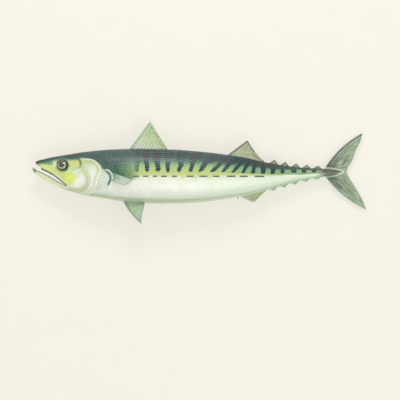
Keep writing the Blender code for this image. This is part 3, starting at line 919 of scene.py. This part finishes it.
# %% Two rows of finlets
FINLET_BASE, FINLET_PITCH = 0.0270, 0.0325
FINLET_ROWS = (
    ("dorsal", 0.7050, 0.0130, BACK_LINE, 1, finlet_web, "back_fins"),
    ("anal", 0.7020, 0.0095, BELLY_LINE, -1, anal_finlet_web, "belly_fins"),
)
for word, start, height, line, side, web, slot in FINLET_ROWS:
    for i in range(5):
        front = start + i * FINLET_PITCH
        back = front + FINLET_BASE
        rise = side * height * (1 - 0.08 * i)
        peak = front + 0.74 * FINLET_BASE
        edge = [
            (peak, float(line(peak)) + rise),
            (front + 0.92 * FINLET_BASE, float(line(back)) + 0.55 * rise),
            (back + 0.08 * FINLET_BASE, float(line(back)) + 0.15 * rise),
        ]
        finlet = fin_sheet(
            f"{word}_finlet_web_{i + 1}", 5, 12,
            median_fin((front, back), edge, line, side, 5, notch=0.03), 0.60,
        )
        finish_piece(finlet, web, slot, f"{word}_finlet_{i + 1}")
    print("five", word, "finlets,", round(FINLET_PITCH * TOTAL_LENGTH / MM, 1), "mm apart")

# %% [markdown]
# ### The side fins and the tail
# The left side fin lies back along the upper flank with its tip a little off the skin. The right
# one is pressed flat under the fish. The tail is two lobes of close rays that fan out from the end
# of the backbone, and the outer rays bow outwards.

# %% Side fins
SIDE_BASE = smooth_path([(0.2400, -0.0010), (0.2420, -0.0130), (0.2375, -0.0262)])
SIDE_EDGE = smooth_path([
    (0.3020, -0.0230), (0.2910, -0.0325), (0.2790, -0.0378), (0.2600, -0.0355), (0.2470, -0.0305),
])


def side_fin(side):
    """The surface of a side fin, on the upper (1) or the lower flank (-1)."""

    def surface(share, row):
        root, root_up = SIDE_BASE(share)
        tip, tip_up = SIDE_EDGE(share)
        along, up = root + (tip - root) * row, root_up + (tip_up - root_up) * row
        scale = TOTAL_LENGTH / MM
        skin_height = flank_height(along, up, side) * scale
        rooted = np.maximum(0.0, 1 - row / 0.25)
        if side > 0:
            height = skin_height + (0.9 + 1.2 * row**2) * (1 - rooted) - 0.8 * rooted
        else:
            height = np.maximum(skin_height - 0.45, 0.45) + 1.0 * rooted
        return np.column_stack([(along - 0.5) * scale, up * scale, height])

    return surface


for word, side in (("left", 1), ("right", -1)):
    pectoral = fin_sheet(f"side_fin_{word}_web", 14, 40, side_fin(side), 0.35)
    finish_piece(pectoral, side_web, "side_and_tail_fins", f"{word}_pectoral_fin")
    print("the", word, "side fin has", len(pectoral.data.polygons), "faces")

# %% The tail
TAIL_ROOT = smooth_path([
    (0.8740, 0.0085), (0.8900, 0.0045), (0.8960, -0.0008), (0.8900, -0.0066), (0.8750, -0.0112),
])
TAIL_EDGE = smooth_path([
    (0.9880, 0.1164), (0.9815, 0.0935), (0.9669, 0.0640), (0.9549, 0.0307), (0.9435, 0.0130),
    (0.9400, 0.0005), (0.9463, -0.0140), (0.9636, -0.0418), (0.9875, -0.0842), (1.0000, -0.1130),
])
TAIL_BOW = 0.0110
TAIL_RAYS = 30


def tail_surface(share, row):
    """The tail's middle surface."""
    root, root_up = TAIL_ROOT(share)
    tip, tip_up = TAIL_EDGE(share)
    run, rise = tip - root, tip_up - root_up
    reach = np.hypot(run, rise)
    bulge = 4 * TAIL_BOW * row * (1 - row) * (1 - 2 * share) ** 3
    along = root + run * row - np.abs(bulge * rise) / reach
    up = root_up + rise * row + bulge * run / reach
    scale = TOTAL_LENGTH / MM
    ripple = 0.5 * np.sin(9 * share) * row**2
    return np.column_stack([(along - 0.5) * scale, up * scale, MIDDLE_HEIGHT(along) * scale + ripple])


tail = fin_sheet("tail_fin_web", TAIL_RAYS, 48, tail_surface, 0.75, split=0.40)
points = read_points(tail)
along, scale = along_of(points), TOTAL_LENGTH / MM
beside = np.maximum(points[:, 1] - BACK_LINE(along) * scale, BELLY_LINE(along) * scale - points[:, 1])
beyond = np.hypot(points[:, 0] - (BODY_END - 0.5) * scale, points[:, 1])
off_body = np.where(along < BODY_END, beside, beyond)
keep_on(tail, "off_body", off_body)
finish_piece(tail, tail_web, "side_and_tail_fins", "tail_fin")
print("the tail is", round(float(np.ptp(points[:, 1])), 1), "mm from tip to tip")

# %% The spine before the vent fin
low, high = (Vector(corner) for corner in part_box("anal_spine"))
deselect_all()
bpy.ops.mesh.primitive_cone_add(vertices=20, radius1=0.9 * MM, radius2=0.2 * MM, depth=4.0 * MM)
spine = start_editing("vent_spine")
bpy.ops.mesh.select_all(action="SELECT")
bpy.ops.mesh.bevel(offset=0.12 * MM, segments=2)
bpy.ops.object.mode_set(mode="OBJECT")
spine.location = (low + high) / 2
spine.rotation_euler = Vector((0.45, -1.0, 0.0)).to_track_quat("Z", "Y").to_euler()
settle(spine)
spine.data.uv_layers.active.name = "rays"
finish_piece(spine, belly_web, "belly_fins", "anal_spine")

# %% [markdown]
# ## A map of the skin
# The bars of a mackerel follow the fish, not the table. The skin gets a flat map of its own: one
# way it counts the bars from the head to the tail, and the other way it runs from 0 on the back,
# through 1 on the line of the backbone, to 2 under the belly. The distances to the head's drawn
# lines are kept on the skin as well, so that a finish can draw a fine line or a soft edge there.

# %% Write the skin's map and its distances
BAR_PITCH, FIRST_BAR = 10.92, -65.3
BACKBONE = -4.2
bar_lean = smooth_line([
    (-180, 0.0), (-70, 0.0), (-32, 0.0), (-12, 0.30), (5, 0.55), (18, 0.95), (30, 0.90), (40, 1.05),
    (51, 0.60), (63, 0.15), (74, 0.05), (180, 0.0),
])


def skin_map(points):
    """The bar count and the way down from the back for points in millimetres."""
    along = along_of(points)
    x, y = points[:, 0], points[:, 1]
    bars = (x - bar_lean(x) * (y + 2.0) - FIRST_BAR) / BAR_PITCH
    top = BACK_LINE(along) * TOTAL_LENGTH / MM
    low = BELLY_LINE(along) * TOTAL_LENGTH / MM
    line = np.clip(BACKBONE + 0.0 * x, low + 0.35 * (top - low), top - 0.35 * (top - low))
    down = np.where(y > line, (top - y) / (top - line), 1 + (line - y) / (line - low))
    return np.column_stack([bars, np.clip(down, 0.0, 2.0)])


points = read_points(skin)
flat = skin.data.uv_layers.new(name="skin_map")
corners = np.empty(len(skin.data.loops), np.int32)
skin.data.loops.foreach_get("vertex_index", corners)
flat.data.foreach_set("uv", skin_map(points)[corners].astype(np.float32).ravel())
DRAWN_LINES = {
    "gill": GILL_EDGE, "rim": COVER_RIM, "cheek": CHEEK_EDGE, "mouth": MOUTH_LINE,
    "crown": CROWN_EDGE, "brow": BROW_ARC, "fold": SHOULDER_FOLD, "keel_up": UPPER_KEEL,
    "keel_low": LOWER_KEEL, "lip": LIP_LINE,
}
for name, path in DRAWN_LINES.items():
    keep_on(skin, name, distances(points, path)[0])
DASHES = [
    (-66.0, 3.0), (-56.0, 2.8), (-46.5, 2.2), (-37.0, 3.0), (-26.0, 2.6), (-10.0, 3.8), (4.0, 4.0),
    (17.5, 3.4), (33.0, 4.4), (46.0, 4.2), (62.5, 5.0),
]
ROW_CENTRE, ROW_PITCH = (-42.0, -75.0), 2.75
within_dash = np.max([half - np.abs(points[:, 0] - middle) for middle, half in DASHES], axis=0)
along, scale = along_of(points), TOTAL_LENGTH / MM
middle = depth_of(along)[0] * scale
inward = HALF_WIDTH(along) * scale - np.abs(points[:, 2] - MIDDLE_HEIGHT(along) * scale)
unrolled = points[:, 1] + np.sign(points[:, 1] - middle) * 0.35 * np.maximum(inward, 0.0)
rows = np.hypot(points[:, 0] - ROW_CENTRE[0], unrolled - ROW_CENTRE[1]) / ROW_PITCH
keep_on(skin, "within_dash", within_dash)
keep_on(skin, "scale_rows", rows)
print("kept", len(DRAWN_LINES), "distances on the skin, and", len(DASHES), "dashes")

# %% [markdown]
# ## The finish of the skin
# Raw mackerel skin is a clear wet film over fine scales. The back is a deep blue-green with dark
# wavy bars, the gaps below it turn lime and then gold, a row of short dashes runs along the
# backbone, and the belly is white silver with a touch of mint. Each of these is laid over the last,
# from the widest area to the finest line, as a fish painter would.

# %% The skin's material
wet_skin, tree, shader = new_material("wet_mackerel_skin", Roughness=0.40, IOR=1.36)
shader.inputs["Coat Weight"].default_value = 0.14
shader.inputs["Coat Roughness"].default_value = 0.22
coords = node(tree, "TexCoord").outputs["Object"]
split = node(tree, "SeparateXYZ", {0: node(tree, "UVMap", uv_map="skin_map").outputs[0]})
bars, down = split.outputs[0], split.outputs[1]
place = node(tree, "SeparateXYZ", {0: coords})
x_place, y_place = place.outputs[0], place.outputs[1]


def kept(name):
    """A distance kept on the skin, in millimetres."""
    return node(tree, "Attribute", attribute_name=name).outputs["Fac"]


def noise_of(scale, detail=3.0, roughness=0.5):
    """Soft noise from 0 to 1; scale is how many blotches go in a metre."""
    links = {"Vector": coords, "Scale": scale, "Detail": detail, "Roughness": roughness}
    return node(tree, "TexNoise", links).outputs["Fac"]


def product(*values):
    """Several values multiplied."""
    result = values[0]
    for value in values[1:]:
        result = math_node(tree, "MULTIPLY", result, value)
    return result


def off(value, middle):
    """How far value is from middle, on either side."""
    return math_node(tree, "ABSOLUTE", math_node(tree, "SUBTRACT", value, middle))


WANDER = 4.5 * MM  # how far the edges of a spot may stray
drift = node(tree, "TexNoise", {"Vector": coords, "Scale": 260.0, "Detail": 2.0}).outputs["Color"]
drift = node(tree, "VectorMath", {0: drift, 1: (0.5, 0.5, 0.5)}, operation="SUBTRACT").outputs[0]
drift = node(tree, "VectorMath", {0: drift, "Scale": WANDER}, operation="SCALE").outputs[0]
wandering = node(tree, "VectorMath", {0: coords, 1: drift}).outputs[0]


def spot(below, hex_value, centre, size, turn=0.0, strength=1.0):
    """A soft oval of colour, placed in millimetres, the same on both flanks."""
    place_links = {
        "Vector": wandering, "Location": (centre[0] * MM, centre[1] * MM, 0.0),
        "Rotation": (0.0, 0.0, math.radians(turn)), "Scale": (size[0] * MM, size[1] * MM, 10.0),
    }
    local = node(tree, "Mapping", place_links, vector_type="TEXTURE").outputs[0]
    oval = node(tree, "TexGradient", {"Vector": local}, gradient_type="SPHERICAL").outputs["Fac"]
    return tint(tree, fade(tree, oval, 0.0, 0.8, 0.0, strength), below, hex_value)


def line_of(below, hex_value, distance, middle, half_width, strength=1.0):
    """A soft line of colour along a kept distance."""
    share = fade(tree, off(distance, middle), 0.3 * half_width, 1.4 * half_width, 1.0, 0.0)
    if strength != 1.0:
        share = math_node(tree, "MULTIPLY", share, strength)
    return tint(tree, share, below, hex_value)


# %% The trunk: back, bars and belly
waver = math_node(tree, "MULTIPLY_ADD", noise_of(95.0, 3.0), 0.50, -0.25)
wavy_bars = math_node(tree, "ADD", bars, waver)
swing = math_node(tree, "COSINE", math_node(tree, "MULTIPLY", wavy_bars, 2 * math.pi))
ragged = math_node(tree, "MULTIPLY_ADD", noise_of(230.0, 3.0), 0.14, -0.07)
edge = math_node(tree, "ADD", down, ragged)
tailward = fade(tree, x_place, 0.075, 0.105, 0.0, 0.10)
half_edge = math_node(tree, "MULTIPLY_ADD", edge, 0.5, tailward)
reach = ramp(tree, half_edge, [
    (0.00, "909090"), (0.16, "989898"), (0.24, "bcbcbc"), (0.32, "c6c6c6"), (0.405, "cccccc"),
    (0.445, "ffffff"), (1.0, "ffffff"),
])
# These greys stand for numbers: a darker one makes the bars wider, and white ends them.
threshold = math_node(tree, "MULTIPLY_ADD", reach, 3.2, -1.6)
bar = fade(tree, math_node(tree, "SUBTRACT", swing, threshold), -0.30, 0.30)
flank = ramp(tree, half_edge, [
    (0.00, "2c4341"), (0.16, "2f4c45"), (0.225, "40705a"), (0.29, "8bb071"), (0.36, "abc677"),
    (0.42, "b9ca78"), (0.465, "c2cd82"), (0.495, "ced6a0"), (0.525, "e6ead2"), (0.58, "eff0e2"),
    (0.70, "f3f2e8"), (0.86, "e9f0e2"), (0.925, "cfddc4"), (1.0, "bccdb2"),
])
minty = product(fade(tree, x_place, -0.035, 0.03), fade(tree, down, 1.0, 1.15))
mint = tint(tree, fade(tree, x_place, 0.060, 0.105), "d8e8d3", "bbdeb5")
flank = tint(tree, math_node(tree, "MULTIPLY", minty, 0.62), flank, mint)
green_band = product(fade(tree, down, 0.40, 0.55), fade(tree, down, 0.93, 0.82), 0.75)
green_tail = product(fade(tree, x_place, 0.010, 0.060), green_band)
flank = tint(tree, green_tail, flank, "769c7c")
back_bar = tint(tree, fade(tree, noise_of(70.0, 2.0), 0.40, 0.62), "1f3c40", "3a3437")
back_bar = tint(tree, fade(tree, x_place, 0.050, 0.100, 0.0, 0.45), back_bar, "5f665c")
dark_bar = tint(tree, fade(tree, down, 0.30, 0.60), back_bar, "1a3c43")
trunk = tint(tree, bar, flank, dark_bar)
shoulder = product(fade(tree, x_place, -0.060, -0.072), fade(tree, y_place, -0.0095, -0.0060))
ragged_place = math_node(tree, "ADD", x_place, product(noise_of(150.0, 3.0), 0.012))
rear = fade(tree, ragged_place, -0.080, -0.058)
shoulder_colour = tint(tree, rear, "26564a", "86a870")
shoulder_colour = tint(tree, fade(tree, down, 0.34, 0.62), "2f4b49", shoulder_colour)
trunk = tint(tree, math_node(tree, "MULTIPLY", shoulder, 0.95), trunk, shoulder_colour)
for x, y in ((-18.0, -5.0), (-4.0, -5.4), (11.0, -5.2)):
    trunk = spot(trunk, "cdd98a", (x, y), (4.0, 3.0), 0.0, 0.8)
dash_edge = math_node(tree, "MULTIPLY_ADD", noise_of(330.0, 2.0), 1.6, -0.8)
dash_length = fade(tree, math_node(tree, "ADD", kept("within_dash"), dash_edge), -0.8, 0.8)
DASH_LINE = -4.7 * MM
dash = product(dash_length, fade(tree, off(y_place, DASH_LINE), 0.5 * MM, 1.15 * MM, 0.92, 0.0))
trunk = tint(tree, dash, trunk, "2f564b")
# painted shade: a dark olive line where the belly's flank turns down towards the table
BELLY_SHADE_LINE = 1.885  # its place on the way down from the back
trunk = tint(tree, fade(tree, off(down, BELLY_SHADE_LINE), 0.01, 0.06, 0.50, 0.0), trunk, "a6b08a")

# %% The head: crown, cheek, gill cover and jaws
gill, rim, cheek, mouth, crown, fold = (
    kept(name) for name in ("gill", "rim", "cheek", "mouth", "crown", "fold")
)
head = ramp(tree, math_node(tree, "MULTIPLY", down, 0.5), [
    (0.00, "b4c89a"), (0.35, "cfdba4"), (0.60, "e2ebc8"), (0.88, "e3eccc"), (0.975, "d6e5c4"),
    (1.0, "aab899"),
])
HEAD_SPOTS = [
    ("d6e386", (-155.5, 3.0), (19.0, 7.0), -32.0, 0.95),
    ("f0f2c4", (-156.5, -9.0), (20.0, 4.6), -32.0, 0.9),
    ("cedc82", (-140.5, -3.5), (12.0, 8.0), -20.0, 0.9),
    ("eff1e2", (-148.5, -5.2), (8.5, 2.4), -38.0, 0.8),
    ("dfe8cf", (-118.5, -2.0), (7.0, 16.0), 0.0, 0.9),
    ("fbf9f7", (-126.6, -10.6), (12.5, 9.2), 42.0, 1.0),
    ("e6f67a", (-134.9, -7.6), (11.0, 8.0), 25.0, 1.0),
    ("ccd588", (-130.6, 8.6), (8.4, 8.0), 0.0, 1.0),
    ("c2b470", (-130.6, 10.6), (3.6, 3.0), 0.0, 0.55),
    ("dcea7c", (-136.8, 0.2), (5.0, 3.6), 20.0, 0.8),
    ("eceee2", (-111.0, -4.0), (8.5, 19.0), -4.0, 1.0),
    ("f3f1ea", (-112.5, -12.5), (6.5, 11.0), -10.0, 0.9),
    ("b3c27e", (-117.0, 11.6), (13.0, 4.4), -6.0, 0.85),
    ("dcefe2", (-128.4, 0.8), (7.6, 2.4), 31.0, 1.0),
    ("5f8f76", (-159.5, 9.8), (11.0, 3.4), -10.0, 0.9),
    ("e6ece4", (-151.3, 8.2), (2.0, 5.4), 6.0, 0.85),
]  # colour, centre and reach in millimetres, turn in degrees, strength
for hex_value, centre, size, turn, strength in HEAD_SPOTS:
    head = spot(head, hex_value, centre, size, turn, strength)
head = line_of(head, "bccb86", cheek, -1.2, 1.7, 0.70)
# an olive line along the cheek bone's edge, partly its own colour and partly painted shade in the crease
# there
head = line_of(head, "8ea283", cheek, 0.9, 0.5, 0.55)
head = line_of(head, "9db285", cheek, -3.2, 0.5, 0.35)
lime_upwards = fade(tree, y_place, -0.026, 0.008, 0.25, 0.60)
lime_rim = product(fade(tree, off(rim, -2.6), 0.4, 2.0, 1.0, 0.0), lime_upwards)
head = tint(tree, lime_rim, head, "c6d48c")
white_upwards = fade(tree, y_place, -0.008, 0.002, 0.35, 0.95)
white_rim = product(fade(tree, off(rim, -0.3), 0.2, 0.9, 1.0, 0.0), white_upwards)
head = tint(tree, white_rim, head, "f6f7f1")
beyond_rim = fade(tree, rim, 0.2, 1.2)
RIB_TURN = math.radians(-42)
ribs = node(tree, "Mapping", {"Vector": coords, "Rotation": (0.0, 0.0, RIB_TURN)}).outputs[0]
rib_wave = {"Vector": ribs, "Scale": 135.0, "Distortion": 0.6}
rib = node(tree, "TexWave", rib_wave, bands_direction="Y").outputs["Fac"]
membrane = tint(tree, fade(tree, rib, 0.40, 0.95, 0.0, 0.60), "e6f0df", "8fae9b")
mottle = product(fade(tree, y_place, -0.004, 0.004), fade(tree, noise_of(300.0, 3.0), 0.42, 0.6))
membrane = tint(tree, product(mottle, 0.85), membrane, "5f8a52")
head = tint(tree, beyond_rim, head, membrane)
plate = product(fade(tree, y_place, -0.003, 0.006), fade(tree, cheek, 0.8, 2.0))
head = tint(tree, product(fade(tree, rib, 0.55, 0.95, 0.0, 0.5), plate), head, "9fb5a2")
off_lip = off(mouth, -1.9)
lip_band = product(fade(tree, off_lip, 0.5, 2.0, 0.95, 0.0), fade(tree, x_place, -0.139, -0.145))
head = tint(tree, lip_band, head, "f5f3f5")
# painted shade: a dark line along the slit of the mouth
head = line_of(head, "5d6b57", mouth, 0.2, 0.8, 0.8)
head = line_of(head, "67755c", kept("lip"), 0.0, 0.65, 0.75)
head = spot(head, "7c8f80", (-173.4, 1.6), (4.6, 3.6), -40.0, 0.9)
# painted shade: a dark ring round the eye's socket
in_plan = node(tree, "Mapping", {"Vector": wandering, "Scale": (1.0, 1.0, 0.0)}).outputs[0]
eye_links = {0: in_plan, 1: (EYE_SPOT[0] * MM, EYE_SPOT[1] * MM, 0.0)}
from_eye = node(tree, "VectorMath", eye_links, operation="DISTANCE").outputs["Value"]
head = tint(tree, fade(tree, from_eye, 5.8 * MM, 8.4 * MM, 0.8, 0.0), head, "5b7a5f")
# a dark arc behind the eye, partly its own colour and partly painted shade in the brow's crease, stronger
# towards the crown
brow_strength = fade(tree, y_place, 0.002, 0.010, 0.15, 0.85)
off_brow = math_node(tree, "ABSOLUTE", kept("brow"))
head = tint(tree, product(fade(tree, off_brow, 0.4, 2.1, 1.0, 0.0), brow_strength), head, "3f6a58")
head = tint(tree, fade(tree, crown, -3.4, 0.2, 0.0, 0.95), head, "4c7a63")
crown_colour = tint(tree, fade(tree, crown, 0.3, 3.2), "2f574e", "474846")
head = tint(tree, fade(tree, crown, -0.9, 0.9), head, crown_colour)

# %% Head and trunk together, with scales and gloss
past_gill = fade(tree, x_place, -0.0895, -0.0870)
behind_gill = math_node(tree, "MAXIMUM", fade(tree, gill, -0.3, 0.5), past_gill)
above = fade(tree, crown, -0.5, 0.8)
on_nape = product(above, fade(tree, x_place, -0.135, -0.105))
on_trunk = product(behind_gill, fade(tree, x_place, -0.128, -0.115))
body_share = math_node(tree, "MAXIMUM", on_trunk, on_nape)
colour = tint(tree, body_share, head, trunk)
colour = line_of(colour, "f1f5ee", fold, 2.0, 0.9, 0.8)
# painted shade: a dark line in the fold behind the gill cover
colour = line_of(colour, "3a6453", fold, 0.1, 1.5, 0.9)
keel_up, keel_low = kept("keel_up"), kept("keel_low")
between_keels = product(fade(tree, keel_up, 0.2, -0.6), fade(tree, keel_low, -0.2, 0.6), 0.9)
in_wedge = product(between_keels, fade(tree, x_place, 0.120, 0.134))
colour = tint(tree, in_wedge, colour, "5d6156")
for keel in (keel_up, keel_low):
    colour = line_of(colour, "cfdcc4", keel, 0.2, 0.8, 0.8)
row_swing = math_node(tree, "COSINE", math_node(tree, "MULTIPLY", kept("scale_rows"), 2 * math.pi))
row_line = fade(tree, row_swing, 0.0, 0.95)
worn = fade(tree, noise_of(420.0, 2.0), 0.34, 0.60, 0.45, 1.0)
row_line = product(row_line, body_share, worn, fade(tree, x_place, 0.045, 0.015))
on_back = product(fade(tree, down, 1.02, 0.98), fade(tree, down, 0.95, 0.60, 0.16, 0.26))
patchy = fade(tree, noise_of(22.0, 2.0), 0.40, 0.60, 0.05, 0.28)
on_belly = product(fade(tree, down, 0.98, 1.02), patchy)
colour = tint(tree, product(row_line, on_back), colour, "a9bdb0")
colour = tint(tree, product(row_line, on_belly), colour, "b9cdb0")
small = node(tree, "Mapping", {"Vector": coords, "Scale": (0.75, 1.15, 1.15)}).outputs[0]
scales = node(tree, "TexVoronoi", {"Vector": small, "Scale": 560.0}, feature="F1")
scale_tone = node(tree, "SeparateColor", {0: scales.outputs["Color"]}).outputs[0]
glint = fade(tree, scale_tone, 0.0, 1.0, -0.03, 0.03)
lit = node(tree, "HueSaturation", {"Color": colour, "Value": math_node(tree, "ADD", glint, 1.0)})
tree.links.new(lit.outputs["Color"], shader.inputs["Base Color"])
silver = product(fade(tree, down, 0.95, 1.25), 0.22)
tree.links.new(silver, shader.inputs["Metallic"])
wet = fade(tree, noise_of(75.0, 4.0, 0.6), 0.3, 0.7, 0.36, 0.56)
tree.links.new(wet, shader.inputs["Roughness"])
relief = {"Height": scales.outputs["Distance"], "Strength": 0.25, "Distance": 0.12 * MM}
scale_bump = node(tree, "Bump", relief, invert=True)
tree.links.new(scale_bump.outputs[0], shader.inputs["Normal"])

skin.data.materials[0] = wet_skin
skin.data.shade_smooth()
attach(skin, "root")
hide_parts("body")
print("the skin's finish has", len(tree.nodes), "nodes")

# %% [markdown]
# ## The table
# A plain cream table, wide enough to fill the view from every side.

# %% Table
TABLE_GLOW = 0.65  # the share of the table's own plain colour in what the camera sees of it
cream, tree, shader = new_material("cream_table", Roughness=0.9)
shader.inputs["Specular IOR Level"].default_value = 0.1
coords = node(tree, "TexCoord").outputs["Object"]
fibres = node(tree, "TexNoise", {"Vector": coords, "Scale": 40.0, "Detail": 3.0})
paper = tint(tree, fibres.outputs["Fac"], "f8f4e9", "f5f1e6")
tree.links.new(paper, shader.inputs["Base Color"])
glow = node(tree, "Emission", {"Color": paper, "Strength": 1.0})
share = math_node(tree, "MULTIPLY", looked_at(tree), TABLE_GLOW)
lightened = node(tree, "MixShader", {0: share, 1: shader.outputs[0], 2: glow.outputs[0]})
output = next(n for n in tree.nodes if n.type == "OUTPUT_MATERIAL")
tree.links.new(lightened.outputs[0], output.inputs["Surface"])
deselect_all()
bpy.ops.mesh.primitive_plane_add(size=8.0, location=(0.0, 0.0, -0.0001))
table = start_editing("table")
bpy.ops.mesh.select_all(action="SELECT")
bpy.ops.mesh.subdivide(number_cuts=3)
bpy.ops.object.mode_set(mode="OBJECT")
settle(table)
table.data.materials.append(cream)
table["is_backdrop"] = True
print("the table is", round(table.dimensions.x), "m wide")

# %% Sizes
low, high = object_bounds()
print("the visual model is", [round((b - a) / MM, 1) for a, b in zip(low, high)], "mm")
